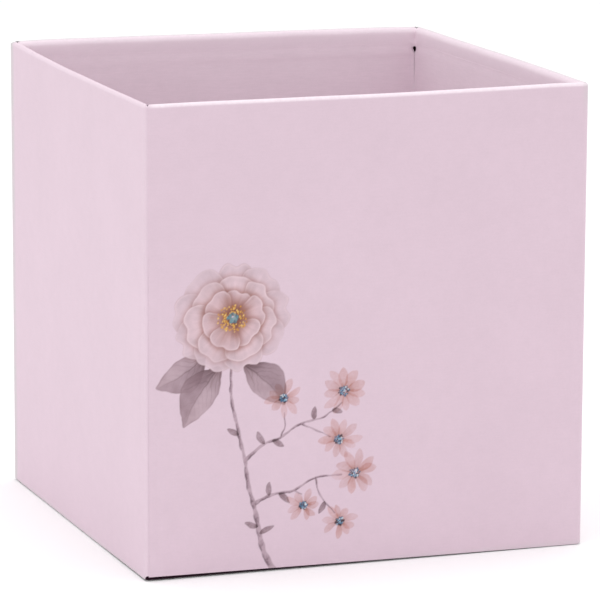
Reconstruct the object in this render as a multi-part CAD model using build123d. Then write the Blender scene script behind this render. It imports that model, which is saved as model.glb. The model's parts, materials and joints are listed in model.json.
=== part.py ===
from build123d import *
import os

# A rigid flower box: an open tray of black-dyed board, covered in paper outside and lined inside.
# Millimetres. +Z is up, the printed front faces -Y, and the origin is the centre of the underside.

# Driving sizes
BOX_WIDTH = 150.0  # outside the covering paper, along X and along Y
BOX_HEIGHT = 152.5  # underside to rim
BOARD = 2.0  # thickness of the black-dyed board
PAPER = 0.2  # thickness of every sheet: wrap, liners, stays and base sheet
RIM_TURN_IN = 10.0  # how far the wrap comes down inside the rim
BASE_TURN_IN = 15.0  # how far the wrap reaches in under the base
CORNER_FOLD = 1.2  # outside radius of the wrap round the four upright corners
RIM_FOLD = 1.1  # outside radius of the wrap at the rim's two folds
BASE_FOLD = 0.6  # outside radius of the wrap where it turns under the base
LINER_BELOW_RIM = 5.5  # the liners' top edges stop this far under the rim
LINER_CORNER_GAP = 0.8  # each wall liner stops this far short of the corner
FLOOR_LINER_GAP = 0.4  # the floor liner stops this far short of the wall liners
STAY_LEG = 18.0  # each leg of a corner stay
BASE_SHEET_MARGIN = 3.0  # the base sheet stops this far inside the outline
MITRE_SLOT = 0.5  # open width between two turned-in edges at a corner
MITRE_UNCUT = 0.5  # the mitre cut stops this far inside the outside corner

# Sizes that follow from them
HALF_WIDTH = BOX_WIDTH / 2
BOARD_OUTER = HALF_WIDTH - PAPER
BOARD_INNER = BOARD_OUTER - BOARD
LINER_BACK = BOARD_INNER - PAPER
LINER_FACE = LINER_BACK - PAPER
WRAP_BOTTOM = PAPER
BOARD_BOTTOM = WRAP_BOTTOM + PAPER
BOARD_TOP = BOX_HEIGHT - PAPER
FLOOR = BOARD_BOTTOM + BOARD
TURN_IN_BOTTOM = BOX_HEIGHT - RIM_TURN_IN

# The front wall faces -Y, and each quarter turn about +Z gives the next wall round.
WALLS = ("front", "right", "back", "left")
CORNERS = ("front_right", "back_right", "back_left", "front_left")


def block(x_range, y_range, z_range):
    """A box between the low and high value along each axis."""
    (x0, x1), (y0, y1), (z0, z1) = x_range, y_range, z_range
    centre = ((x0 + x1) / 2, (y0 + y1) / 2, (z0 + z1) / 2)
    return Pos(*centre) * Box(x1 - x0, y1 - y0, z1 - z0)


def quarter_turned(shape, turns):
    """The shape turned about the vertical axis by a number of quarter turns."""
    return Rot(0, 0, 90 * turns) * shape


def rounded_tube(outer, inner, z_range, shrink):
    """An upright square tube with rounded corners, rim and foot, whose radii are less by a shrink."""
    across = (-outer, outer)
    tube = block(across, across, z_range)
    tube = fillet(tube.edges().filter_by(Axis.Z), CORNER_FOLD - shrink)
    tube = fillet(tube.edges().group_by(Axis.Z)[0], BASE_FOLD - shrink)
    tube = tube - block((-inner, inner), (-inner, inner), z_range)
    return fillet(tube.edges().group_by(Axis.Z)[-1], RIM_FOLD - shrink)


def wall_board(length):
    """The front wall's board, cut to a length, with its edges rounded where the wrap folds over them."""
    walls = rounded_tube(BOARD_OUTER, BOARD_INNER, (BOARD_BOTTOM, BOARD_TOP), PAPER)
    along = (-length / 2, length / 2)
    return walls & block(along, (-BOARD_OUTER, -BOARD_INNER), (BOARD_BOTTOM, BOARD_TOP))


def base_board():
    """The base board, which fits between the four walls."""
    across = (-BOARD_INNER, BOARD_INNER)
    return block(across, across, (BOARD_BOTTOM, FLOOR))


def corner_stay():
    """The L of paper tape inside the front right corner, from the floor to the wrap's turned-in edge."""
    height = (FLOOR, TURN_IN_BOTTOM)
    on_front = block((BOARD_INNER - STAY_LEG, BOARD_INNER), (-BOARD_INNER, -LINER_BACK), height)
    on_right = block((LINER_BACK, BOARD_INNER), (-BOARD_INNER, STAY_LEG - BOARD_INNER), height)
    return on_front + on_right


def uncut_wrap():
    """The covering sheet before its corners are mitred: outside, over the rim, inside and under the base."""
    covered = rounded_tube(HALF_WIDTH, LINER_BACK, (WRAP_BOTTOM, BOX_HEIGHT), 0)
    walls = rounded_tube(BOARD_OUTER, BOARD_INNER, (BOARD_BOTTOM, BOARD_TOP), PAPER)
    inside = (-BOARD_INNER, BOARD_INNER)
    below_turn_in = block(inside, inside, (WRAP_BOTTOM, TURN_IN_BOTTOM))
    under = block(inside, inside, (WRAP_BOTTOM, BOARD_BOTTOM))
    open_half = HALF_WIDTH - BASE_TURN_IN
    open_part = block((-open_half, open_half), (-open_half, open_half), (WRAP_BOTTOM, BOARD_BOTTOM))
    return covered - walls - below_turn_in + (under - open_part)


def mitre_cut(inner_corner, z_range):
    """The slot between two turned-in edges, along the diagonal of the front right corner."""
    diagonal = 2**0.5
    along = (inner_corner * diagonal, (HALF_WIDTH - MITRE_UNCUT) * diagonal)
    slot = block(along, (-MITRE_SLOT / 2, MITRE_SLOT / 2), z_range)
    return Rot(0, 0, -45) * slot


def outer_wrap():
    """The whole covering sheet, mitred where two turned-in edges meet at the rim and under the base."""
    sheet = uncut_wrap()
    rim_cut = mitre_cut(LINER_FACE, (TURN_IN_BOTTOM - PAPER, BOX_HEIGHT + PAPER))
    base_cut = mitre_cut(HALF_WIDTH - BASE_TURN_IN - PAPER, (0, BOARD_BOTTOM))
    for turns in range(len(CORNERS)):
        sheet = sheet - quarter_turned(rim_cut, turns) - quarter_turned(base_cut, turns)
    return sheet


def wall_liner():
    """The front wall's lining sheet, over the lower part of the wrap's turned-in edge and the stays."""
    half_length = LINER_BACK - LINER_CORNER_GAP
    height = (FLOOR, BOX_HEIGHT - LINER_BELOW_RIM)
    return block((-half_length, half_length), (-LINER_BACK, -LINER_FACE), height)


def floor_liner():
    """The lining sheet on the base board."""
    across = (FLOOR_LINER_GAP - LINER_FACE, LINER_FACE - FLOOR_LINER_GAP)
    return block(across, across, (FLOOR, FLOOR + PAPER))


def base_sheet():
    """The sheet under the base that covers the wrap's turned-in edges. The box rests on it."""
    across = (BASE_SHEET_MARGIN - HALF_WIDTH, HALF_WIDTH - BASE_SHEET_MARGIN)
    return block(across, across, (0, WRAP_BOTTOM))


def make_parts():
    """Every piece of the box, by node name."""
    parts = {
        "board_base": base_board(),
        "outer_wrap": outer_wrap(),
        "liner_floor": floor_liner(),
        "base_sheet": base_sheet(),
    }
    # The front and back boards run the full width, and the side boards fit between them.
    long_board = wall_board(2 * BOARD_OUTER)
    short_board = wall_board(2 * BOARD_INNER)
    for turns, wall in enumerate(WALLS):
        board = long_board if wall in ("front", "back") else short_board
        parts[f"board_{wall}"] = quarter_turned(board, turns)
        parts[f"liner_{wall}"] = quarter_turned(wall_liner(), turns)
    for turns, corner in enumerate(CORNERS):
        parts[f"corner_stay_{corner}"] = quarter_turned(corner_stay(), turns)
    return parts


os.makedirs("parts", exist_ok=True)
for node, shape in make_parts().items():
    export_step(shape, f"parts/{node}.step")
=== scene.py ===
import json
import math

import bpy
import numpy as np
from mathutils import Matrix, Vector

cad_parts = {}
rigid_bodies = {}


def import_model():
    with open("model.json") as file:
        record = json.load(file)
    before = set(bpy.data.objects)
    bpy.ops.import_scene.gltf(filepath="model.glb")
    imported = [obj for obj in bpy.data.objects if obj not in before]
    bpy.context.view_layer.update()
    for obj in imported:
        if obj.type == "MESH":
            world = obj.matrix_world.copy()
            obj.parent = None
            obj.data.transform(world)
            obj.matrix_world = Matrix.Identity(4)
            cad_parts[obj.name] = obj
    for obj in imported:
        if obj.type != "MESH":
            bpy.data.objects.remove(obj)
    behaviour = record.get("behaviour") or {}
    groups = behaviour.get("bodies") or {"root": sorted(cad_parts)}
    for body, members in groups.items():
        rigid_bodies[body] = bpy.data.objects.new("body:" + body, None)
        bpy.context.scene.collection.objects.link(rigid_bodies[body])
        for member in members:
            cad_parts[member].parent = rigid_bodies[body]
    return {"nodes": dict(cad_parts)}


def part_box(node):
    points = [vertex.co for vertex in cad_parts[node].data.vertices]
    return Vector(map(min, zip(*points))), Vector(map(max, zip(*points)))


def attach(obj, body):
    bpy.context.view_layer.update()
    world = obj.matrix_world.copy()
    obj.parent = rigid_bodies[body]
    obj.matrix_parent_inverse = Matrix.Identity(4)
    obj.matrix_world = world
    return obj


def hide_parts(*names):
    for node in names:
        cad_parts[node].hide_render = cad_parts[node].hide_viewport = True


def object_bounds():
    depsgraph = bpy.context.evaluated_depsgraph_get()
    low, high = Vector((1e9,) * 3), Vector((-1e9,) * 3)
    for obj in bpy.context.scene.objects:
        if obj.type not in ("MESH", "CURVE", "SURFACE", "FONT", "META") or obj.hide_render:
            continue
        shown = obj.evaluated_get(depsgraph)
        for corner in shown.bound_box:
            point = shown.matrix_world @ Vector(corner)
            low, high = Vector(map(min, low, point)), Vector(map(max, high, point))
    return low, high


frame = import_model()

CAD_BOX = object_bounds()
MM = 0.001

# -------------------- sizes read from the frame
WRAP_LOW, WRAP_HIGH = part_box("outer_wrap")
LINER_LOW, LINER_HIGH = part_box("liner_front")
BOARD_LOW, BOARD_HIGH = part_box("board_front")
FLOOR_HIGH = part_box("liner_floor")[1]
SHEET_LOW, SHEET_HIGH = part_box("base_sheet")
STAY_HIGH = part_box("corner_stay_front_right")[1]

HALF = WRAP_HIGH.x  # from the middle to the outside of the wrap
RIM = WRAP_HIGH.z
FOOT = WRAP_LOW.z
PAPER = SHEET_HIGH.z - SHEET_LOW.z
WALL = BOARD_HIGH.y - BOARD_LOW.y + 2 * PAPER  # wrap, board and turned-in wrap together
TURN_IN_END = STAY_HIGH.z  # the turned-in wrap ends where the corner stays begin
LINER_TOP = LINER_HIGH.z
WALL_NAMES = ("front", "right", "back", "left")

# -------------------- shape of the folded paper
CORNER_FOLD = 1.0 * MM  # outside radius of the wrap at the four upright corners
RIM_FOLD = 1.1 * MM  # outside radius at the rim's two folds
BASE_FOLD = 0.6 * MM  # outside radius where the wrap turns under the base
BASE_TURN_IN = 15 * MM
# How far each wall's rim is cut short of the corner's diagonal, at its left and its right end.
MITRES = {
    "front": (0.85 * MM, 0.25 * MM),
    "right": (0.25 * MM, 1.15 * MM),
    "back": (0.85 * MM, 1.30 * MM),
    "left": (1.40 * MM, 0.12 * MM),
}
MITRE_GAP = -0.04 * MM  # half the opening where the mitre reaches the inside: the flaps just overlap

# The box isn't quite true: how far each rim corner is from its place (right, back, up), in millimetres.
CORNER_DRIFT = {
    "front_left": (0.0, -0.20, 0.27),
    "front_right": (0.20, -0.08, 0.56),
    "back_left": (-0.13, 0.12, 1.20),
    "back_right": (0.09, 0.0, 0.11),
}
# How far the rim's middle stands over a straight line between its corners, in millimetres.
MID_RISE = {"front": -0.34, "left": -0.80, "back": 0.25, "right": 0.11}
RIM_DROP = 2.3 * MM  # the turned-in sheet eases down from the rim's top over this height
BULGE = 0.28 * MM  # and stands this far off the board at the foot of that curve
BULGE_DROP = 6.5 * MM  # then it comes back to the board over this height
WAVE_SLOW, WAVE_QUICK = 0.11 * MM, 0.035 * MM  # heights of the waves in the sheets
FLAT_EDGE = 9 * MM  # the waves die out over this much at each edge
RIM_PHASE = {"front": 3.9, "right": 2.6, "back": 4.4, "left": 0.2}  # where each rim's waves start
# How many degrees of the rim's outer fold the upright fold at a wall's right-hand end turns over.
RIM_CAP = {"front": 62, "right": 62, "back": 22, "left": 62}
# A small hole is left in each inside corner: the depth of its top, and how much is cut from each sheet.
PINHOLE_DEPTH = 6.5 * MM
PINHOLE_IN_WRAP, PINHOLE_IN_LINING = 0.95 * MM, 1.0 * MM
# The covering's lower edge on the front is raised, most at the left, leaving a dark band of bare black core
# along the foot.
FRONT_BARE = 1.18 * MM

# -------------------- wear and painted light
# How pale each rim is rubbed and painted with highlight: how strongly, how far down, and the height it fades
# over, in millimetres.
RIM_RUB_AND_HIGHLIGHT = {
    "front": (0.9, 1.25, 0.45),
    "right": (0.6, 2.3, 1.0),
    "back": (0.75, 2.3, 0.8),
    "left": (0.25, 1.25, 0.45),
}
# The turned-in part and the upright folds are rubbed pale too, partly as painted highlight.
INSIDE_RUB_AND_HIGHLIGHT, UPRIGHT_RUB_AND_HIGHLIGHT = 0.40, 0.2  # the same for the turned-in part and the upright folds
# The grey outside the back and right rims is painted sheen.
RIM_PAINTED_SHEEN = {"front": 0.0, "right": 0.64, "back": 0.8, "left": 0.0}  # how grey the outside of each rim is
# How grey the foot is, as painted shade, and the upright edges at three corners: painted sheen at the far
# left and far right, painted shade at the front right.
FOOT_PAINTED_SHADE, FAR_LEFT_PAINTED_SHEEN, FAR_RIGHT_PAINTED_SHEEN, FRONT_RIGHT_PAINTED_SHADE = 0.35, 0.9, 0.4, 0.5


def smooth(t):
    """0 below 0, 1 above 1, and a smooth rise between."""
    t = np.clip(t, 0, 1)
    return t * t * (3 - 2 * t)


def wave(place, length, phase=0.0):
    """A sine wave of a length along a place."""
    return np.sin(2 * np.pi * place / length + phase)


def bell(distance, width):
    """1 at no distance, and a smooth fall to 0 on both sides over about twice a width."""
    return np.exp(-((distance / width) ** 2))


# -------------------- mesh helpers
def turned(points, turns):
    """Points of the front wall turned about the upright axis by quarter turns, so that it becomes another."""
    c, s = ((1, 0), (0, 1), (-1, 0), (0, -1))[turns % 4]
    x, y, z = points[..., 0], points[..., 1], points[..., 2]
    return np.stack([c * x - s * y, s * x + c * y, z], axis=-1)


def grid_faces(rows, columns, start=0):
    """Quads of a grid whose vertices run along each row in turn."""
    corner = (np.arange(rows - 1)[:, None] * columns + np.arange(columns - 1)[None]).ravel() + start
    return np.stack([corner, corner + 1, corner + columns + 1, corner + columns], axis=1)


def mesh_piece(name, points, faces, material, replaced=(), thickness=0.0):
    """A smooth mesh piece that rides on the box, made solid inwards by a thickness."""
    mesh = bpy.data.meshes.new(name)
    mesh.from_pydata(points.tolist(), [], [list(map(int, f)) for f in faces])
    mesh.polygons.foreach_set("use_smooth", [True] * len(mesh.polygons))
    mesh.materials.append(material)
    mesh.update()
    piece = bpy.data.objects.new(name, mesh)
    bpy.context.scene.collection.objects.link(piece)
    if thickness:
        solid = piece.modifiers.new("thickness", "SOLIDIFY")
        solid.thickness = thickness
        solid.offset = -1
    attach(piece, "root")
    if replaced:
        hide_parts(*replaced)
    return piece


CUT_EDGE_ANGLE = math.radians(50)  # edges sharper than this are shaded crisp


def finish_sheets():
    """Give every sheet its thickness as mesh, with crisp cut edges."""
    pieces = [piece for piece in bpy.data.objects if "thickness" in piece.modifiers]
    view = bpy.context.evaluated_depsgraph_get()
    for piece in pieces:
        mesh = bpy.data.meshes.new_from_object(piece.evaluated_get(view))
        mesh.name = piece.name
        mesh.set_sharp_from_angle(angle=CUT_EDGE_ANGLE)
        piece.modifiers.clear()
        piece.data = mesh


def give_values(piece, name, values):
    """A float for each vertex, which a material can read by name."""
    attribute = piece.data.attributes.new(name, "FLOAT", "POINT")
    attribute.data.foreach_set("value", np.asarray(values, np.float32).ravel())


# -------------------- materials
MIX_A, MIX_B, MIX_RESULT = 6, 7, 2  # the colour sockets of a Mix node


class Nodes:
    """A short way to add and link the nodes of one material."""

    def __init__(self, name):
        self.material = bpy.data.materials.new(name)
        self.material.use_nodes = True
        self.tree = self.material.node_tree
        self.surface = self.tree.nodes["Principled BSDF"]
        self.where = self.add("ShaderNodeTexCoord").outputs["Object"]

    def add(self, kind, **settings):
        node = self.tree.nodes.new(kind)
        for key, value in settings.items():
            setattr(node, key, value)
        return node

    def link(self, source, socket):
        self.tree.links.new(source, socket)

    def stretched(self, scale):
        """The place on the object, scaled along each axis, so that a pattern runs one way."""
        node = self.add("ShaderNodeMapping")
        node.inputs["Scale"].default_value = scale
        self.link(self.where, node.inputs["Vector"])
        return node.outputs["Vector"]

    def noise(self, scale, detail=3.0, vector=None):
        node = self.add("ShaderNodeTexNoise")
        node.inputs["Scale"].default_value = scale
        node.inputs["Detail"].default_value = detail
        self.link(self.where if vector is None else vector, node.inputs["Vector"])
        return node.outputs["Fac"]

    def mapped(self, value, low, high):
        """A 0.25 to 0.75 noise value taken to the range from low to high."""
        node = self.add("ShaderNodeMapRange")
        node.inputs["From Min"].default_value = 0.25
        node.inputs["From Max"].default_value = 0.75
        node.inputs["To Min"].default_value = low
        node.inputs["To Max"].default_value = high
        self.link(value, node.inputs["Value"])
        return node.outputs["Result"]

    def maths(self, operation, a, b):
        node = self.add("ShaderNodeMath", operation=operation)
        for socket, value in zip(node.inputs, (a, b)):
            if isinstance(value, (int, float)):
                socket.default_value = value
            else:
                self.link(value, socket)
        return node.outputs["Value"]

    def mix(self, factor, a, b, blend="MIX"):
        node = self.add("ShaderNodeMix", data_type="RGBA", blend_type=blend)
        for key, value in (("Factor", factor), (MIX_A, a), (MIX_B, b)):
            socket = node.inputs[key]
            if isinstance(value, (int, float)):
                socket.default_value = value
            elif isinstance(value, tuple):
                socket.default_value = (*value, 1.0)
            else:
                self.link(value, socket)
        return node.outputs[MIX_RESULT]

    def shaded(self, colour, amount):
        """A colour times a grey amount from nodes."""
        grey = self.add("ShaderNodeCombineColor")
        for socket in grey.inputs:
            self.link(amount, socket)
        return self.mix(1.0, colour, grey.outputs["Color"], "MULTIPLY")

    def attribute(self, name, output="Fac"):
        return self.add("ShaderNodeAttribute", attribute_name=name).outputs[output]

    def bump(self, height, distance, strength=1.0, below=None):
        node = self.add("ShaderNodeBump")
        node.inputs["Strength"].default_value = strength
        node.inputs["Distance"].default_value = distance
        self.link(height, node.inputs["Height"])
        if below is not None:
            self.link(below, node.inputs["Normal"])
        return node.outputs["Normal"]


PINK = (0.676, 0.524, 0.607)
PALE_PINK = (0.80, 0.667, 0.738)
# The pale of rubbed wear, which also paints highlight on the rims and folds.
RUBBED_AND_HIGHLIT = (0.88, 0.765, 0.83)
# The grey of painted sheen on the edges and painted shade at the foot.
SHEEN_AND_SHADE_GREY = (0.57, 0.54, 0.55)


def paper(name, colour, roughness, streaks=0.012, tooth=0.10, printed=False, worn_and_painted_light=False):
    """Uncoated dyed paper: fine tooth, cloudy formation, and faint fibres that run across the sheet. On the
    covering it also takes rubbed wear with painted highlight, and painted sheen and shade.
    """
    n = Nodes(name)
    cloud = n.mapped(n.noise(260, 4.0), 0.988, 1.012)
    tint = n.mapped(n.noise(38, 2.0), 0.985, 1.015)
    grain = n.noise(1700, 3.0)
    fibres = n.noise(1.0, 2.0, n.stretched((240, 240, 1900)))
    fibre_tone = n.mapped(fibres, 1 - streaks, 1 + streaks)
    fine_tone = n.maths("MULTIPLY", fibre_tone, n.mapped(grain, 0.985, 1.015))
    tone = n.maths("MULTIPLY", n.maths("MULTIPLY", cloud, tint), fine_tone)
    shade = n.shaded(colour, tone)
    if worn_and_painted_light:
        shade = n.mix(n.attribute("inside"), shade, n.shaded(PALE_PINK, tone))
        # Rubbed wear with painted highlight along the rims and folds.
        rub_highlight_mask = n.maths("MULTIPLY", n.attribute("fold"), n.mapped(n.noise(900, 4.0), 0.75, 1.15))
        # Painted sheen on the edges and painted shade at the foot, in grey.
        scuff = n.maths("MULTIPLY", n.attribute("scuff"), n.mapped(n.noise(260, 5.0), 0.35, 1.25))
        shade = n.mix(scuff, n.mix(rub_highlight_mask, shade, RUBBED_AND_HIGHLIT), SHEEN_AND_SHADE_GREY)
    if printed:
        shade = n.mix(1.0, shade, n.attribute("ink", "Color"), "MULTIPLY")
    n.link(shade, n.surface.inputs["Base Color"])
    n.link(n.mapped(grain, roughness - 0.05, roughness + 0.07), n.surface.inputs["Roughness"])
    rough_height = n.maths("ADD", grain, n.maths("MULTIPLY", fibres, 0.6))
    fine = n.bump(rough_height, 0.05 * MM, tooth)
    n.link(n.bump(n.noise(170, 3.0), 0.10 * MM, 0.12, fine), n.surface.inputs["Normal"])
    n.surface.inputs["Specular IOR Level"].default_value = 0.35
    n.surface.inputs["Sheen Weight"].default_value = 0.08
    n.surface.inputs["Sheen Roughness"].default_value = 0.5
    return n.material


def core_board():
    """Board dyed black through, flecked with fibres and specks; its near-black also stands in as painted
    shade in the mitre notches, the pinholes and the bare foot.
    """
    n = Nodes("core_board")
    fleck = n.mapped(n.noise(900, 6.0), 0.55, 1.5)
    speck = n.mapped(n.noise(2600, 2.0), 0.8, 1.2)
    n.link(n.shaded((0.014, 0.003, 0.008), n.maths("MULTIPLY", fleck, speck)), n.surface.inputs["Base Color"])
    n.link(n.mapped(n.noise(1200), 0.85, 0.98), n.surface.inputs["Roughness"])
    n.link(n.bump(n.noise(1500, 5.0), 0.15 * MM, 0.5), n.surface.inputs["Normal"])
    n.surface.inputs["Specular IOR Level"].default_value = 0.12
    return n.material


def paper_tape():
    """Gummed paper tape: pale, with long fibres up the strip."""
    n = Nodes("paper_tape")
    fibres = n.noise(1.0, 4.0, n.stretched((1800, 1800, 180)))
    n.link(n.shaded((0.66, 0.54, 0.60), n.mapped(fibres, 0.82, 1.18)), n.surface.inputs["Base Color"])
    n.link(n.mapped(fibres, 0.55, 0.75), n.surface.inputs["Roughness"])
    n.link(n.bump(fibres, 0.05 * MM, 0.4), n.surface.inputs["Normal"])
    return n.material


COVERING = paper("covering_paper", PINK, 0.56, worn_and_painted_light=True)
PRINTED = paper("printed_paper", PINK, 0.56, printed=True)
LINING = paper("lining_paper", PALE_PINK, 0.66, streaks=0.022)
BASE_PAPER = paper("base_paper", PINK, 0.62)
# The board's black also serves as painted shade where it shows through openings.
DARK_BOARD_AND_SHADE = core_board()
PAPER_TAPE = paper_tape()


# -------------------- the covering sheet
def waves(x, z, wall, phase):
    """How far a sheet stands off its plane, in metres: slow, slight waves that die out at the edges."""
    phase = phase + 1.7 * WALL_NAMES.index(wall)
    slow = wave(x, 0.19, phase) * wave(z, 0.17, 1.3 * phase)
    quick = wave(x, 0.067, 2.0 * phase) * wave(z, 0.083, phase)
    side = smooth((HALF - np.abs(x)) / FLAT_EDGE)
    ends = smooth((RIM - z) / FLAT_EDGE) * smooth((z - FOOT) / FLAT_EDGE)
    return (WAVE_SLOW * slow + WAVE_QUICK * quick) * side * ends


def corner_groove(x):
    """The paper draws in a little beside each upright fold."""
    beside = HALF - np.abs(x)
    return -0.09 * MM * bell(beside - 4.2 * MM, 1.5 * MM)


def rim_rise(x, wall):
    """How far the rim's fold stands over the board: slow waves that die out at the corners."""
    phase = RIM_PHASE[wall]
    rise = 0.075 * MM * (1 + wave(x, 0.105, phase)) + 0.02 * MM * wave(x, 0.041, phase)
    return (rise + 0.03 * MM) * smooth((HALF - np.abs(x)) / (14 * MM))


def inside_bulge(depth):
    """How far the turned-in sheet stands off the board, by its depth under the rim."""
    return BULGE * smooth(depth / RIM_DROP) * (1 - smooth((depth - RIM_DROP) / BULGE_DROP))


def inside_relief(x, z, wall):
    """How far the turned-in sheet and the lining over it ripple, and crumple beside the corners."""
    beside = HALF - WALL - np.abs(x)
    ripple = 0.05 * MM * wave(x, 0.037, 1.7 * WALL_NAMES.index(wall)) * smooth(beside / (6 * MM))
    ripple = ripple * smooth((RIM - z) / (3 * MM)) * smooth((z - RIM + 16 * MM) / (6 * MM))
    crumple = bell(beside, 1.8 * MM) * bell(RIM - 5.6 * MM - z, 1.3 * MM)
    return ripple + 0.45 * MM * crumple


def out_of_true(points):
    """Points of the whole box, moved to where they are in a box that isn't quite true."""
    right = np.clip(0.5 + 0.5 * points[:, 0] / HALF, 0, 1)
    behind = np.clip(0.5 + 0.5 * points[:, 1] / HALF, 0, 1)
    height = points[:, 2]
    shares = {"front_left": (1 - right) * (1 - behind), "front_right": right * (1 - behind),
              "back_left": (1 - right) * behind, "back_right": right * behind}
    drift = sum(share[:, None] * np.array(CORNER_DRIFT[corner]) * MM for corner, share in shares.items())
    across, along = 4 * right * (1 - right), 4 * behind * (1 - behind)
    rise = MID_RISE["front"] * across * (1 - behind) + MID_RISE["back"] * across * behind
    rise = rise + MID_RISE["left"] * along * (1 - right) + MID_RISE["right"] * along * right
    lean = np.clip(height / RIM, 0, 1)
    near_rim = smooth((height - RIM + 60 * MM) / (55 * MM))
    drift[:, :2] *= lean[:, None]
    drift[:, 2] = (drift[:, 2] + rise * MM) * near_rim
    return points + drift


def run(start, end, step):
    """Evenly spaced section points (inward, height) from start to end."""
    count = max(1, round(math.dist(start, end) / step))
    t = np.linspace(0, 1, count + 1)[:, None]
    return np.array(start) * (1 - t) + np.array(end) * t


def arc(centre, radius, start, end, count=8):
    """Section points (inward, height) round an arc: 0 degrees is its outer side and 90 its top."""
    a = np.radians(np.linspace(start, end, count + 1))
    return np.stack([centre[0] - radius * np.cos(a), centre[1] + radius * np.sin(a)], axis=1)


def joined(*stretches):
    """Section stretches one after another, each starting where the one before it ended."""
    return np.vstack([stretches[0], *[stretch[1:] for stretch in stretches[1:]]])


def foot_section():
    """The sheet from its edge under the base to the foot of the wall."""
    under = run((BASE_TURN_IN, FOOT), (BASE_FOLD, FOOT), 2.5 * MM)
    return joined(under, arc((BASE_FOLD, FOOT + BASE_FOLD), BASE_FOLD, -90, 0))


def rim_section():
    """The sheet from the top of the wall, over the rim, to its edge inside."""
    outer = arc((RIM_FOLD, RIM - RIM_FOLD), RIM_FOLD, 0, 90, 10)
    turn = np.radians(np.linspace(0, 90, 13))
    wide = WALL + BULGE - RIM_FOLD
    inner = np.stack([RIM_FOLD + wide * np.sin(turn), RIM - RIM_DROP * (1 - np.cos(turn))], axis=1)
    down = run((WALL, RIM - RIM_DROP), (WALL, TURN_IN_END), 0.5 * MM)
    down[:, 0] += inside_bulge(RIM - down[:, 1])
    return joined(outer, inner, down)


def across_wall(count=90):
    """Places across a wall from -1 to 1, closer together near the corners."""
    t = np.linspace(-1, 1, count + 1)
    return np.sign(t) * (1 - (1 - np.abs(t)) ** 1.3)


def pinhole(height):
    """1 at the top of the small hole left in each inside corner, narrowing to 0 at its foot."""
    depth = RIM - height
    return smooth((depth - PINHOLE_DEPTH) / (0.4 * MM)) * (1 - smooth((depth - 7.3 * MM) / (2.2 * MM)))


def mitre_gap(inward, height, cut):
    """How far the sheet's end is cut short of the corner's diagonal: most outside, nearly closed inside."""
    opening = smooth((height - RIM + RIM_FOLD) / (0.3 * MM)) * (1 - smooth((inward / WALL - 0.7) / 0.15))
    return MITRE_GAP + (cut - MITRE_GAP) * opening + PINHOLE_IN_WRAP * pinhole(height)


def fold_patch(section, left_cut=0.0, right_cut=0.0):
    """A folded flap over the wall's whole width, mitred at both ends."""
    inward, height = section[:, :1], section[:, 1:]
    flat_half = HALF - CORNER_FOLD
    left = np.minimum(flat_half, HALF - inward - mitre_gap(inward, height, left_cut))
    right = np.minimum(flat_half, HALF - inward - mitre_gap(inward, height, right_cut))
    across = across_wall()[None]
    x = np.where(across < 0, across * left, across * right)
    return np.stack([x, -HALF + inward + 0 * x, height + 0 * x], axis=-1)


def corner_patch(section):
    """The upright fold at the wall's right-hand end, along a stretch of section."""
    turn = np.radians(np.linspace(0, 90, 10))[None]
    inward, height = section[:, :1], section[:, 1:]
    radius = CORNER_FOLD - inward
    middle = HALF - CORNER_FOLD
    x = middle + radius * np.sin(turn)
    y = -middle - radius * np.cos(turn)
    return np.stack([x, y, height + 0 * x], axis=-1)


def bare_foot(x, wall):
    """How far over the foot the covering's lower edge is raised, baring the black board: on the front a dark
    band, on the left a thin band of painted shade under the foot.
    """
    t = np.clip((x + HALF) / (2 * HALF), 0, 1)
    if wall == "front":
        return 0.02 * MM + FRONT_BARE * (1 - t) ** 1.2
    near, last = smooth((t - 0.6) / 0.3), smooth((t - 0.985) / 0.015) ** 2  # the near corner is at t = 1
    return (0.16 + 0.22 * near + 1.2 * last) * MM


def shaped(points, wall):
    """The covering sheet's points with its waves, grooves and crumpled corners, and the rise of the rim."""
    x, y, z = points[:, 0], points[:, 1], points[:, 2]
    on_face = smooth(1 - (y + HALF) / (0.3 * MM)) * (np.abs(x) < HALF - CORNER_FOLD)
    groove = corner_groove(x) * smooth((RIM - z) / (6 * MM)) * smooth((z - FOOT) / (6 * MM))
    rise = np.maximum(waves(x, z, wall, 0.4) + groove, -0.12 * MM)
    inside = (y > -HALF + 0.9 * WALL) & (z > RIM - 11 * MM)
    y = y - rise * on_face + inside_relief(x, z, wall) * inside
    z = z + rim_rise(x, wall) * smooth((z - RIM + 9 * MM) / (8 * MM))
    return np.stack([x, y, z], axis=1)


def rub_and_painted_highlight(points, wall):
    """How pale the paper is along the rim and the upright folds: rubbed wear, partly painted highlight."""
    x, y, z = points[:, 0], points[:, 1], points[:, 2]
    strength, low, fade = RIM_RUB_AND_HIGHLIGHT[wall]
    from_left = smooth((x + HALF) / (4 * MM) + (wall != "front"))  # the front's fades in
    rim = strength * smooth((z - RIM + low * MM) / (fade * MM)) * from_left
    past_top = smooth((y + HALF - 0.5 * WALL) / (0.4 * WALL))
    turned_in = INSIDE_RUB_AND_HIGHLIGHT * smooth((z - RIM + 8 * MM) / (7 * MM)) * past_top
    upright = UPRIGHT_RUB_AND_HIGHLIGHT * smooth(1 - np.hypot(HALF - x, HALF + y) / (1.3 * MM))
    return np.maximum.reduce([rim, turned_in, upright])


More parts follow.
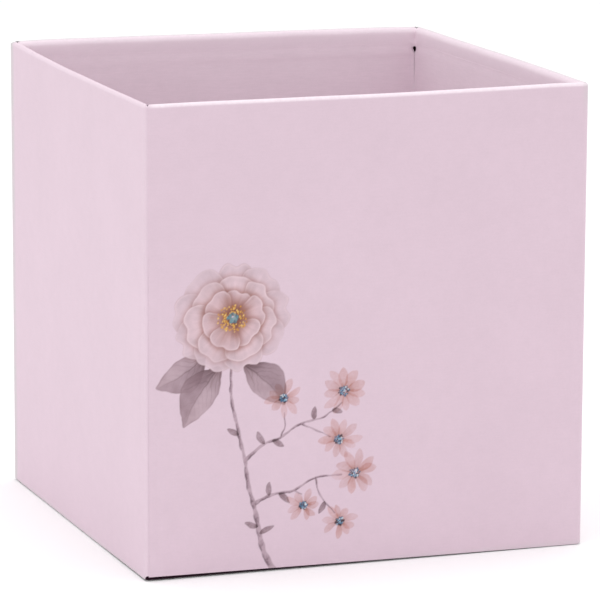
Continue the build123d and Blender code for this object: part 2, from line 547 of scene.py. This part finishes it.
def painted_sheen_and_shade(points, wall):
    """How grey the paper is painted: painted shade at the foot and along the front right edge, painted sheen
    outside the back and right rims and along the two far upright edges.
    """
    x, y, z = points[:, 0], points[:, 1], points[:, 2]
    inward = (y + HALF) / (0.8 * MM)
    foot = FOOT_PAINTED_SHADE * smooth((FOOT + 2.2 * MM - z) / (2 * MM))
    outer_edge = RIM_PAINTED_SHEEN[wall] * smooth((z - RIM + 1.0 * MM) / (0.5 * MM)) * smooth(2.6 - inward)
    # How far a point is from the far left and from the far right corner, or far away on the other walls.
    far_left = {"back": HALF - x, "left": HALF + x}.get(wall, HALF + 0 * x)
    far_right = {"right": HALF - x, "back": HALF + x}.get(wall, HALF + 0 * x)
    upright = np.maximum(FAR_LEFT_PAINTED_SHEEN * smooth(1.6 - far_left / (3.2 * MM)),
                         FAR_RIGHT_PAINTED_SHEEN * smooth(1.3 - far_right / (2 * MM)))
    front_right = FRONT_RIGHT_PAINTED_SHADE * (wall == "front") * smooth(1 - (HALF - x) / (3 * MM))
    front_right = front_right * smooth((z - RIM + 12 * MM) / (8 * MM))
    return np.maximum.reduce([foot, outer_edge, smooth(2.2 - inward) * upright, front_right])


def welded(patches):
    """One set of points and faces from grid patches that share their edges."""
    points, faces, start = [], [], 0
    for patch in patches:
        rows, columns = patch.shape[:2]
        points.append(patch.reshape(-1, 3))
        faces.append(grid_faces(rows, columns, start))
        start += rows * columns
    points, faces = np.vstack(points), np.vstack(faces)
    key = np.round(points / (1e-3 * MM)).astype(np.int64)
    first, index = np.unique(key, axis=0, return_index=True, return_inverse=True)[1:]
    return points[first], index.ravel()[faces]


def raised_foot_edge(face, wall):
    """A face patch with its lower edge raised over the foot, as bare_foot gives it."""
    x, z = face[..., 0], face[..., 2]
    raised = bare_foot(x, wall) * (1 - smooth((z - FOOT - BASE_FOLD) / (40 * MM)))
    face[..., 2] = z + raised - BASE_FOLD * (z <= FOOT + BASE_FOLD)
    return face


def wrap_panel(turns):
    """One wall's share of the covering sheet, with the upright fold at its right-hand end."""
    wall = WALL_NAMES[turns]
    left_cut, right_cut = MITRES[wall]
    foot, rim = foot_section(), rim_section()
    low, high = (0, FOOT + 3 * MM), (0, RIM - 5 * MM)  # the rows of points are closer outside these two
    face = joined(run(foot[-1], low, 0.4 * MM), run(low, high, 2 * MM), run(high, rim[0], 0.4 * MM))
    rim_cap = arc((RIM_FOLD, RIM - RIM_FOLD), RIM_FOLD, 0, RIM_CAP[wall], 5)
    foot_cap = arc((BASE_FOLD, FOOT + BASE_FOLD), BASE_FOLD, -50, 0, 4)
    under = fold_patch(foot)
    upright = fold_patch(face)
    corner = corner_patch(joined(foot_cap, face, rim_cap))
    if wall in ("front", "left"):  # the sheet ends over the fold, and its part underneath stops short of it
        under = fold_patch(foot[:-6]) + np.array((0, 1.5 * MM, 0))
        upright = raised_foot_edge(upright, wall)
    if wall == "left":
        corner = raised_foot_edge(corner_patch(joined(face, rim_cap)), wall)
    patches = [under, upright, fold_patch(rim, left_cut, right_cut), corner]
    points, faces = welded(patches)
    # Rubbed wear with painted highlight, and the painted sheen and shade, as a value for each vertex.
    rub_and_highlight, scuff = rub_and_painted_highlight(points, wall), painted_sheen_and_shade(points, wall)
    inside = smooth((points[:, 1] + HALF - 0.7 * WALL) / (0.4 * WALL)) * (points[:, 2] > RIM - 12 * MM)
    points = out_of_true(turned(shaped(points, wall), turns))
    piece = mesh_piece(f"wrap_{wall}", points, faces, COVERING, ("outer_wrap",), PAPER)
    give_values(piece, "fold", rub_and_highlight)
    give_values(piece, "inside", inside)
    give_values(piece, "scuff", scuff)


# -------------------- the printed spray
# The spray is painted on a fine grid of points, in millimetres from the lower left corner of the front.
PRINT_STEP = 0.25
PRINT_WIDE = 84.0
PRINT_HIGH = 104.0
PRINT_PROUD = 0.02 * MM  # how far the layer that carries the print stands off the covering
PAPER_LOOK = (224, 200, 214)  # how the bare paper looks, which the printed colours are given beside


def tint(red, green, blue):
    """A printed colour as its ratio to the bare paper, from how the two look side by side."""
    return (np.array((red, green, blue)) / PAPER_LOOK) ** 2.2


def through(points, closed):
    """A smooth line through points, with ten steps between each two."""
    p = np.array(points, float)
    p = np.vstack([p[-1], p, p[:2]]) if closed else np.vstack([2 * p[0] - p[1], p, 2 * p[-1] - p[-2]])
    t = (np.arange(10) / 10)[:, None]
    line = []
    for a, b, c, d in zip(p, p[1:], p[2:], p[3:]):
        square, cube = 2 * a - 5 * b + 4 * c - d, 3 * b - a - 3 * c + d
        line.append(0.5 * (2 * b + (c - a) * t + square * t**2 + cube * t**3))
    return np.vstack(line if closed else [*line, p[-2:-1]])


def segment_place(x, y, a, b):
    """Where points lie beside a segment: the fraction along it, the offset to its left, and its length."""
    step = b - a
    length = np.hypot(*step) + 1e-9
    along = ((x - a[0]) * step[0] + (y - a[1]) * step[1]) / length**2
    beside = ((y - a[1]) * step[0] - (x - a[0]) * step[1]) / length
    return along, beside, length


def depth_inside(x, y, outline):
    """How far points lie inside a closed outline, negative outside."""
    nearest = np.full(x.shape, 1e9)
    inside = np.zeros(x.shape, bool)
    for a, b in zip(outline, np.roll(outline, -1, axis=0)):
        along, beside, length = segment_place(x, y, a, b)
        past = np.maximum(np.abs(along - 0.5) - 0.5, 0) * length
        nearest = np.minimum(nearest, np.hypot(past, beside))
        if a[1] != b[1]:
            crosses = (a[1] > y) != (b[1] > y)
            inside ^= crosses & (x < (b[0] - a[0]) * (y - a[1]) / (b[1] - a[1]) + a[0])
    return np.where(inside, nearest, -nearest)


def fan(rng, angle, lines):
    """Irregular fine streaks against an angle, about -1 to 1."""
    value = 0
    for k in (1, 1.9, 3.3):
        value = value + np.sin(angle * lines * k + rng.uniform(0, 6.28)) / k**0.5
    return value / 1.8


def heading(degrees, squeeze=1.0):
    """A direction on the paper, flattened where a flower is seen a little from the side."""
    return np.array((math.cos(math.radians(degrees)), squeeze * math.sin(math.radians(degrees))))


class Spray:
    """Watercolour laid on paper: a colour ratio and a painted amount at each point."""

    def __init__(self, seed):
        self.rng = np.random.default_rng(seed)
        across = np.arange(round(PRINT_WIDE / PRINT_STEP) + 1) * PRINT_STEP
        up = np.arange(round(PRINT_HIGH / PRINT_STEP) + 1) * PRINT_STEP
        self.x, self.y = np.meshgrid(across, up)
        self.colour = np.ones((*self.x.shape, 3))
        self.painted = np.zeros(self.x.shape)
        self.drift_x = self.cloud(2.6) + 0.5 * self.cloud(1.1)
        self.drift_y = self.cloud(2.6) + 0.5 * self.cloud(1.1)
        self.wash = self.cloud(5.0) + 0.6 * self.cloud(2.0)
        self.grain = self.cloud(0.8) + self.cloud(0.45)

    def cloud(self, size):
        """Smooth seeded noise, about -1 to 1, whose features have a size."""
        rows, columns = (int(limit / size) + 3 for limit in (PRINT_HIGH, PRINT_WIDE))
        lattice = self.rng.uniform(-1, 1, (rows, columns))
        i, j = (self.y / size).astype(int), (self.x / size).astype(int)
        v, u = smooth(self.y / size - i), smooth(self.x / size - j)
        low = lattice[i, j] * (1 - u) + lattice[i, j + 1] * u
        high = lattice[i + 1, j] * (1 - u) + lattice[i + 1, j + 1] * u
        return low * (1 - v) + high * v

    def window(self, points, margin):
        """The part of the grid round some points."""
        low, high = np.min(points, axis=0) - margin, np.max(points, axis=0) + margin
        first = np.maximum(0, np.floor(low / PRINT_STEP).astype(int))
        last = np.maximum(1, np.ceil(high / PRINT_STEP).astype(int))
        return slice(first[1], last[1]), slice(first[0], last[0])

    def places(self, part, wobble=0.12):
        """The grid points in a window, drifted a little so that edges look drawn by hand."""
        return self.x[part] + wobble * self.drift_x[part], self.y[part] + wobble * self.drift_y[part]

    def lay(self, part, cover, colour):
        """Body colour over what is there."""
        cover = np.clip(cover, 0, 1)
        self.colour[part] += cover[..., None] * (colour - self.colour[part])
        self.painted[part] = np.maximum(self.painted[part], cover)

    def glaze(self, part, cover, colour):
        """A clear wash that deepens what is there."""
        cover = np.clip(cover, 0, 1)
        self.colour[part] *= 1 - cover[..., None] * (1 - colour)
        self.painted[part] = np.maximum(self.painted[part], cover)

    def petal(self, outline, base, tip, deep, pale, body, rim, shadow):
        """A broad petal, deep at its base and pale at its tip, with a light rim and a shadow behind it."""
        edge = through(outline, True)
        part = self.window(edge, 2.5)
        x, y = self.places(part)
        d = depth_inside(x, y, edge)
        base, tip = np.array(base, float), np.array(tip, float)
        along, beside, length = segment_place(x, y, base, tip)
        angle = np.arctan2(beside, along * length + 1.5)
        inside, wash = smooth(d / 0.35 + 0.5), self.wash[part]
        self.glaze(part, shadow * bell(np.minimum(d, 0), 1.1) * self.painted[part], tint(182, 140, 140))
        blend = smooth((along + 0.14 * wash + 0.05 * fan(self.rng, angle, 9)) / 0.85)
        colour = tint(*deep) * (1 - blend[..., None]) + tint(*pale) * blend[..., None]
        reaches = smooth(along * 2) * smooth(2.2 - 2 * along)
        tone = 1 + 0.04 * fan(self.rng, angle, 24) * reaches + 0.045 * wash + 0.012 * self.grain[part]
        tone = tone - 0.075 * np.clip(fan(self.rng, angle, 7), 0, 1) ** 3 * reaches
        tone = tone - 0.085 * bell(d - 1.3, 0.9) * (0.6 + 0.6 * wash)
        tone = tone + 0.09 * bell(beside / length - 0.05, 0.2) * smooth(along * 2 - 0.5)
        self.lay(part, inside * (body + 0.10 * wash), colour * tone[..., None])
        light = bell(d - 0.24, 0.2) * smooth(along * 2.2 - 0.5) * (0.75 + 0.35 * wash)
        self.lay(part, rim * light * inside, tint(232, 208, 214))
        line = bell(d + 0.05, 0.16) * smooth(along * 2 - 0.2) * (0.7 + 0.5 * wash)
        self.glaze(part, 0.42 * line, tint(196, 164, 174))

    def leaf(self, outline, base, tip, dark, light, side):
        """A leaf with a midrib and side veins, one half of it in shade."""
        edge = through(outline, True)
        part = self.window(edge, 1.5)
        x, y = self.places(part, 0.2)
        d = depth_inside(x, y, edge)
        base, tip = np.array(base, float), np.array(tip, float)
        along, beside, length = segment_place(x, y, base, tip)
        bow = beside - side * 0.06 * length * np.sin(np.pi * np.clip(along, 0, 1))
        inside, wash = smooth(d / 0.35 + 0.5), self.wash[part]
        shade = 0.5 * smooth(0.5 + side * bow / 1.6) + 0.75 * smooth(0.75 - along) + 0.12 * wash
        shade = np.clip(shade, 0, 1)[..., None]
        colour = tint(*dark) * shade + tint(*light) * (1 - shade)
        self.lay(part, inside * (0.88 + 0.08 * wash), colour * (1 + 0.02 * self.grain[part][..., None]))
        # The side veins lie 2.6 mm apart, each with a strength of its own.
        row = (along * length - 1.1 * np.abs(bow) ** 1.15 + 0.8 * self.drift_x[part]) / 2.6 + 0.3 * (bow > 0)
        own = 0.25 + 0.75 * np.mod(np.sin(np.round(row) * 12.99 + 2 * (bow > 0)) * 437.58, 1)
        vein = own * bell(row - np.round(row), 0.10) * smooth(d / 1.6) * smooth(1.15 - along)
        rib = bell(bow, 0.2) * smooth(d / 0.6)
        self.glaze(part, 0.34 * vein + 0.55 * rib * smooth(1.3 - along), tint(150, 122, 130))
        self.glaze(part, 0.38 * bell(d - 0.1, 0.22) * (0.8 + 0.5 * wash), tint(170, 142, 152))
        rays = 0.7 + 0.5 * fan(self.rng, np.arctan2(beside, along * length + 0.5), 16)
        self.glaze(part, 0.6 * inside * smooth(1 - along * 2.2) * rays, tint(150, 118, 124))

    def blade(self, base, tip, wide, colour, strength, bend, full, outline, fade=0.0):
        """A narrow petal or leaflet in one clear wash, a little darker at its edge and its base."""
        base, tip = np.array(base, float), np.array(tip, float)
        part = self.window([base, tip], wide + 1)
        x, y = self.places(part, 0.16)
        along, beside = segment_place(x, y, base, tip)[:2]
        t = np.clip(along, 0, 1)
        half = 0.5 * wide * np.sin(np.pi * t**full) ** 0.62
        off = beside - bend * np.sin(np.pi * t)
        d = np.where((along > 0) & (along < 1), half - np.abs(off), -1)
        inside = smooth(d / 0.42 + 0.35)
        wash = 0.80 + 0.15 * self.wash[part] + 0.10 * self.grain[part]
        wash = wash + 0.25 * smooth(1 - 2.2 * along) - fade * t**1.5
        self.glaze(part, strength * inside * wash, tint(*colour))
        rim = bell(d - 0.12, 0.14) + 0.6 * bell(off, 0.14) * smooth(1.6 - 2 * along)
        self.glaze(part, outline * inside * rim, tint(*colour))

    def stroke(self, line, widths, colour, dark):
        """A stem: a rough brush stroke, darker along one side, with knots."""
        line = through(line, False)
        widths = np.interp(np.linspace(0, 1, len(line)), np.linspace(0, 1, len(widths)), widths)
        part = self.window(line, 2.5)
        x, y = self.places(part, 0.175)
        best, side, place = np.full(x.shape, -1e9), np.zeros(x.shape), np.zeros(x.shape)
        travelled = 0
        for a, b, wide in zip(line, line[1:], widths):
            along, beside, length = segment_place(x, y, a, b)
            past = np.maximum(np.abs(along - 0.5) - 0.5, 0) * length
            here = travelled + along * length
            uneven = wide * (0.84 + 0.12 * np.sin(1.3 * here) + 0.10 * self.drift_y[part])
            d = 0.5 * uneven - np.hypot(past, beside)
            closer = d > best
            best = np.where(closer, d, best)
            side = np.where(closer, beside / wide, side)
            place = np.where(closer, here, place)
            travelled += length
        cover = smooth(best / 0.3 + 0.5)
        knots = 0.5 + 0.5 * np.sin(place * 0.62 + 2.2 * self.wash[part])
        shade = 0.25 - 1.5 * side * (0.3 + knots) + 0.35 * self.grain[part] + 0.7 * (knots - 0.5)
        shade = np.clip(shade, 0, 1)[..., None]
        look = tint(*colour) * (1 - shade) + tint(*dark) * shade
        self.lay(part, 0.95 * cover * (0.78 + 0.22 * knots), look)

    def dot(self, centre, radius, colour, strength, softness=0.25):
        """A round dab of body colour."""
        part = self.window([centre], radius + 1)
        d = radius - np.hypot(self.x[part] - centre[0], self.y[part] - centre[1])
        self.lay(part, strength * smooth(d / softness + 0.5), tint(*colour))

    def bloom_light(self, centre, size, colour, strength):
        """A soft round wash."""
        part = self.window([centre], 2.5 * max(size))
        r = np.hypot((self.x[part] - centre[0]) / size[0], (self.y[part] - centre[1]) / size[1])
        painted = self.painted[part].copy()
        self.glaze(part, strength * bell(r, 1) * painted, tint(*colour))
        self.painted[part] = painted

    def daisy(self, centre, radius, petals, turn, eye):
        """A small flower of long clear petals round a beaded eye."""
        centre = np.array(centre, float)
        for k in range(petals):
            out = heading(turn + 360 * (k + self.rng.uniform(-0.22, 0.22)) / petals, 0.94)
            tip = centre + radius * self.rng.uniform(0.80, 1.06) * out
            red = self.rng.uniform(-5, 5)
            wide = radius * self.rng.uniform(0.32, 0.42)
            strength, bend = self.rng.uniform(0.75, 1.05), self.rng.uniform(-0.5, 0.5)
            colour = (206 + red, 163 + red, 165 + red)
            self.blade(centre + 0.6 * out, tip, wide, colour, strength, bend, 1.3, 0.22, 0.25)
        self.bloom_light(centre, (0.34 * radius, 0.34 * radius), (178, 138, 132), 0.8)
        for k in range(26):
            place = centre + eye * (k / 25) ** 0.5 * heading(k * 137.5, 0.9)
            dark = (48, 36, 50) if self.rng.random() > 0.6 else (62, 100, 132)
            self.dot(place, self.rng.uniform(0.22, 0.42), dark, 0.9)
        for k in range(11):
            place = centre + self.rng.uniform(-0.75, 0.75, 2) * eye
            look = (226, 232, 240) if k % 2 else (128, 176, 204)
            self.dot(place, self.rng.uniform(0.16, 0.27), look, 0.85)


def petal_shape(rng, base, tip, wide, notch):
    """The outline of a round-ended petal, broadest past its middle, with a shallow dip at its tip."""
    base, along = np.array(base, float), np.array(tip, float) - np.array(base, float)
    beside = np.array((-along[1], along[0])) / np.hypot(*along) * wide / 2
    stations = ((0.0, 0.16), (0.22, 0.56), (0.46, 0.90), (0.68, 1.0), (0.86, 0.84), (0.97, 0.44))
    stations = [(t, w * rng.uniform(0.93, 1.07)) for t, w in stations]
    right = [base + t * along - w * beside for t, w in stations]
    left = [base + t * along + w * rng.uniform(0.93, 1.07) * beside for t, w in reversed(stations)]
    return [*right, base + (1 - notch) * along, *left]


def leaf_shape(base, tip, wide, bend):
    """The outline of a pointed oval leaf that bends to one side."""
    base, along = np.array(base, float), np.array(tip, float) - np.array(base, float)
    beside = np.array((-along[1], along[0])) / np.hypot(*along) * wide / 2
    stations = ((0.14, 0.50), (0.34, 0.92), (0.54, 0.98), (0.74, 0.68), (0.90, 0.28))
    middle = [base + t * along + bend * math.sin(math.pi * t) * beside for t, _ in stations]
    right = [m - w * beside for m, (_, w) in zip(middle, stations)]
    left = [m + w * beside for m, (_, w) in zip(middle, stations)]
    return [base, *right, np.array(tip, float), *left[::-1]]


def paint_bloom(art, centre):
    """A full open bloom: three rings of round petals about a gold and teal heart."""
    # Each ring's petals, their length and width, the first one's turn, two colours, cover, and light rim.
    rings = (
        (9, 20.5, 13.5, 8, (190, 152, 156), (213, 188, 199), 0.93, 0.45),
        (7, 16.0, 12.5, 34, (180, 138, 134), (215, 188, 197), 0.96, 0.60),
        (6, 11.0, 9.5, 12, (168, 118, 106), (212, 182, 190), 0.97, 0.70),
    )
    for ring, (count, long, wide, turn, deep, pale, body, rim) in enumerate(rings):
        order = sorted(range(count), key=lambda k: -math.sin(math.radians(turn + 360 * k / count)))
        for k in order:
            way = turn + 360 * k / count + art.rng.uniform(-5, 5)
            reach = long * art.rng.uniform(0.93, 1.06)
            base = centre + 1.4 * heading(way)
            tip = centre + reach * heading(way, 0.88)
            across, notch = wide * art.rng.uniform(0.92, 1.1), art.rng.uniform(0.02, 0.10)
            shape = petal_shape(art.rng, base, tip, across, notch)
            art.petal(shape, base, tip, deep, pale, body, rim, shadow=0.25 + 0.2 * ring)
        art.bloom_light(centre, (0.40 * long, 0.36 * long), (196, 150, 140), 0.32)
    art.bloom_light(centre, (4.2, 3.8), (160, 104, 84), 0.75)
    for k in range(150):
        way, out = art.rng.uniform(0, 360), art.rng.uniform(2.0, 5.2)
        gold = ((224, 170, 78), (240, 198, 116), (178, 120, 62), (208, 150, 72))[k % 4]
        art.dot(centre + out * heading(way, 0.85), art.rng.uniform(0.16, 0.32), gold, 0.9)
    for k in range(48):
        out, way = 1.9 * art.rng.uniform(0, 1) ** 0.5, art.rng.uniform(0, 360)
        teal = ((112, 134, 142), (96, 144, 158), (88, 104, 116), (136, 160, 164))[k % 4]
        art.dot(centre + out * heading(way, 0.85), art.rng.uniform(0.25, 0.5), teal, 0.8, 0.4)


def paint_spray():
    """A generic spray: one large open bloom over leaves, and small flowers on two side branches."""
    art = Spray(20)
    leaf_tones = (128, 100, 110), (184, 158, 168)
    stem_tones = (178, 152, 164), (116, 92, 104)

    # Leaves: base, tip, width, bend, and the side in shade.
    for base, tip, wide, bend, side in (
        ((20, 72), (3.4, 62.4), 11.0, 0.35, 1),
        ((25, 68), (12.6, 49.0), 12.0, -0.30, -1),
        ((33, 68), (46.6, 54.2), 11.5, 0.30, 1),
    ):
        art.leaf(leaf_shape(base, tip, wide, bend), base, tip, *leaf_tones, side)

    # Stems: points along each, and its widths from end to end.
    for line, widths in (
        (((28.4, 67), (28.6, 58), (30.6, 48), (33, 38), (34.6, 28), (37.4, 17), (39, 8), (42.6, 0.4)),
         (0.9, 1.5, 2.5)),
        (((33.2, 37), (38.6, 41.4), (45, 43.6), (52, 47.6), (60, 49.6), (66, 53.6)), (1.3, 0.9, 0.5)),
        (((35.8, 22.6), (42, 25), (49.6, 26), (57, 29.6), (66, 30)), (1.5, 0.9, 0.5)),
        (((45, 43.6), (46.6, 47.6), (46.4, 51.6)), (0.7, 0.4)),
        (((52, 47.6), (57, 45.4), (62, 42.6)), (0.7, 0.4)),
        (((49.6, 26), (52.4, 24.6)), (0.6, 0.4)),
        (((57, 29.6), (58.6, 24), (63.6, 17.4)), (0.7, 0.4)),
    ):
        art.stroke(line, widths, *stem_tones)

    # Leaflets: base, heading and length.
    for base, way, long in (
        ((39.6, 41.8), 118, 5.0), ((42.4, 43.0), -32, 4.6), ((56.4, 48.8), 84, 4.2),
        ((41.2, 24.8), 86, 4.6), ((44.6, 25.4), -44, 5.0), ((31.2, 45.6), 152, 4.6),
        ((62.4, 51.4), -14, 4.0), ((60.4, 21.6), -120, 4.4), ((38.2, 12.6), 24, 5.4),
        ((37.6, 15.0), 160, 4.8),
    ):
        art.blade(base, base + long * heading(way), 2.0, (150, 124, 134), 1.0, 0.2, 0.9, 0.5)

    # Small flowers: centre, radius, number of petals, and radius of the eye.
    for centre, radius, petals, eye in (
        ((46.2, 56.4), 6.8, 9, 1.5), ((66.6, 57.4), 8.4, 11, 1.9), ((65.0, 41.6), 7.6, 10, 1.7),
        ((70.4, 30.2), 8.2, 10, 1.9), ((53.0, 20.8), 6.4, 9, 1.4), ((65.4, 14.6), 6.6, 9, 1.5),
    ):
        art.daisy(centre, radius, petals, art.rng.uniform(0, 40), eye)

    paint_bloom(art, np.array((29.0, 83.4)))
    return art


def printed_spray():
    """The printed part of the front: a fine layer that follows the covering sheet and carries the colours."""
    art = paint_spray()
    x = -HALF + np.maximum(art.x * MM, CORNER_FOLD)
    z = np.maximum(art.y * MM, FOOT + bare_foot(x, "front") + PRINT_PROUD)
    flat = np.stack([x, np.full(x.shape, -HALF), z], axis=-1).reshape(-1, 3)
    points = out_of_true(shaped(flat, "front"))
    points[:, 1] -= PRINT_PROUD
    piece = mesh_piece("printed_spray", points, grid_faces(*x.shape), PRINTED)
    ink = np.dstack([art.colour, np.ones(x.shape)]).astype(np.float32)
    attribute = piece.data.attributes.new("ink", "FLOAT_COLOR", "POINT")
    attribute.data.foreach_set("color", ink.ravel())


# -------------------- the lining
def wall_liner(turns):
    """One wall's lining sheet: pressed down over the turned-in edge, and curled a little into the corners."""
    wall = WALL_NAMES[turns]
    half, back = -LINER_LOW.x, -LINER_LOW.y
    reach = half + 0.26 * MM  # a thin slit is left in each corner
    across = across_wall(100)[None]
    low = LINER_LOW.z
    z = (low + (LINER_TOP - low) * (1 - (1 - np.linspace(0, 1, 121)) ** 1.8))[:, None]
    edge = 0.06 * MM * wave(z, 0.061, turns) + 0.04 * MM * wave(z, 0.017, 2 * turns)
    x = across * (reach + (edge - PINHOLE_IN_LINING * pinhole(z)) * np.abs(across) ** 40)
    top = 0.10 * MM * wave(x, 0.09, 2.0 * turns) * smooth((z - LINER_TOP + 5 * MM) / (5 * MM))
    over_wrap = inside_bulge(RIM - z) + inside_relief(x, z, wall)
    proud = 0.03 * MM + 0.17 * MM * smooth((LINER_TOP - z) / (3 * MM))
    step = 0.12 * MM * (1 - smooth((z - TURN_IN_END + 1 * MM) / (2 * MM)))
    curl = 0.35 * MM * smooth((np.abs(x) - reach + 1.5 * MM) / (1.5 * MM)) ** 2
    bulge = np.abs(waves(x, z + 0 * x, wall, 2.2)) * 0.8
    face = -back + over_wrap + proud - step + curl + bulge
    points = np.stack([x + 0 * z, face, z + top], axis=-1)[:, ::-1]
    square = turned(points.reshape(-1, 3), turns)
    outward = turned(np.array([[0.0, -1.0, 0.0]]), turns)
    drift = out_of_true(square) - square
    over_stays = smooth((TURN_IN_END + 1 * MM - square[:, 2:]) / (2 * MM))
    drift -= over_stays * np.maximum(drift @ outward.T, 0) * outward  # the stays keep it from leaning out
    faces = grid_faces(*points.shape[:2])
    mesh_piece(f"lining_{wall}", square + drift, faces, LINING, (f"liner_{wall}",), PAPER)


def level_sheet(name, x, y, z, material, node):
    """A level sheet from the places and heights of a grid of points."""
    points = np.stack([x, y, z], axis=-1).reshape(-1, 3)
    mesh_piece(name, points, grid_faces(*x.shape), material, (node,), PAPER)


def floor_liner():
    """The lining sheet on the floor."""
    half = FLOOR_HIGH.x + 0.25 * MM  # its edge lies under the walls' lining
    t = np.linspace(-1, 1, 49) * half
    x, y = np.meshgrid(t, t)
    inset = smooth((half - np.maximum(np.abs(x), np.abs(y))) / (12 * MM))
    z = FLOOR_HIGH.z + 0.10 * MM * (1 + wave(x, 0.11, 1) * wave(y, 0.13)) * inset
    level_sheet("lining_floor", x, y, z, LINING, "liner_floor")


def base_cover():
    """The sheet under the base, pressed in a little where no turned-in paper lies over it."""
    t = np.linspace(-1, 1, 61) * SHEET_HIGH.x
    x, y = np.meshgrid(-t, t)  # x runs backwards, so that the sheet faces down
    inside = smooth((HALF - BASE_TURN_IN - np.maximum(np.abs(x), np.abs(y))) / (2 * MM))
    z = SHEET_LOW.z + 0.8 * PAPER * inside
    level_sheet("base_cover", x, y, z, BASE_PAPER, "base_sheet")


# -------------------- boards and stays, as designed
def dress_cad_nodes():
    """The boards and the corner stays keep their CAD shape and take their own materials."""
    for node, shape in frame["nodes"].items():
        if node.startswith("board_"):
            finish = DARK_BOARD_AND_SHADE
        elif node.startswith("corner_stay_"):
            finish = PAPER_TAPE
        else:
            continue
        shape.data.materials.clear()
        shape.data.materials.append(finish)


# -------------------- studio
SOFT_BOX = 0.6  # metres across
LIGHT_AIM = (0, 0, 0.1)
FLOOR_HALF = 3.0  # metres from the middle of the floor to its edges


def area_light(name, place, power):
    """A square soft box at a place, facing the box."""
    data = bpy.data.lights.new(name, "AREA")
    data.shape = "SQUARE"
    data.size = SOFT_BOX
    data.energy = power
    light = bpy.data.objects.new(name, data)
    light.location = place
    light.rotation_mode = "QUATERNION"
    light.rotation_quaternion = (Vector(LIGHT_AIM) - Vector(place)).to_track_quat("-Z", "Y")
    bpy.context.scene.collection.objects.link(light)


def add_studio():
    """A pale floor in an even white surround, with a soft box overhead and one to the left."""
    scene = bpy.context.scene
    scene.view_settings.view_transform = "Standard"
    world = bpy.data.worlds.new("surround")
    world.use_nodes = True
    background = world.node_tree.nodes["Background"]
    background.inputs["Color"].default_value = (1, 1, 1, 1)
    background.inputs["Strength"].default_value = 1.0
    scene.world = world
    area_light("overhead", (0.0, 0.0, 1.0), 2.5)
    area_light("left", (-1.2, 0.10, 0.22), 0.9)
    corners = [(x * FLOOR_HALF, y * FLOOR_HALF, 0) for x, y in ((-1, -1), (1, -1), (1, 1), (-1, 1))]
    mesh = bpy.data.meshes.new("studio_floor")
    mesh.from_pydata(corners, [], [(0, 1, 2, 3)])
    floor = bpy.data.objects.new("studio_floor", mesh)
    scene.collection.objects.link(floor)
    n = Nodes("studio_floor")
    mottle = n.mapped(n.noise(3.0), 0.995, 1.005)
    n.link(n.shaded((0.98, 0.98, 0.98), mottle), n.surface.inputs["Base Color"])
    n.surface.inputs["Roughness"].default_value = 0.9
    n.surface.inputs["Emission Color"].default_value = (1, 1, 1, 1)
    n.surface.inputs["Emission Strength"].default_value = 0.03
    mesh.materials.append(n.material)


# -------------------- camera
AZIMUTH, ELEVATION, ROLL = math.radians(19.796), math.radians(11.038), math.radians(-0.202)
DISTANCE = 1.48439  # metres from the aim point
AIM_RIGHT, AIM_UP = 0.003634, 0.071223  # metres from the middle of the underside, as the camera sees it
FIELD = 0.13688  # width of the picture over its distance
SENSOR = 36  # millimetres across


def add_camera():
    """A long lens at the left of the front, a little above the rim."""
    level = Vector((math.cos(AZIMUTH), -math.sin(AZIMUTH), 0))
    flat = math.cos(ELEVATION)
    ahead = Vector((math.sin(AZIMUTH) * flat, math.cos(AZIMUTH) * flat, -math.sin(ELEVATION)))
    upward = level.cross(ahead)
    right = level * math.cos(ROLL) - upward * math.sin(ROLL)
    up = level * math.sin(ROLL) + upward * math.cos(ROLL)
    low, high = CAD_BOX
    base = Vector(((low.x + high.x) / 2, (low.y + high.y) / 2, low.z))
    place = base + right * AIM_RIGHT + up * AIM_UP - ahead * DISTANCE
    data = bpy.data.cameras.new("camera")
    data.sensor_width = SENSOR
    data.lens = SENSOR / FIELD
    camera = bpy.data.objects.new("camera", data)
    camera.matrix_world = Matrix.Translation(place) @ Matrix((right, up, -ahead)).transposed().to_4x4()
    bpy.context.scene.collection.objects.link(camera)
    bpy.context.scene.camera = camera


for wall_turns in range(len(WALL_NAMES)):
    wrap_panel(wall_turns)
    wall_liner(wall_turns)
printed_spray()
floor_liner()
base_cover()
finish_sheets()
dress_cad_nodes()
add_studio()
add_camera()
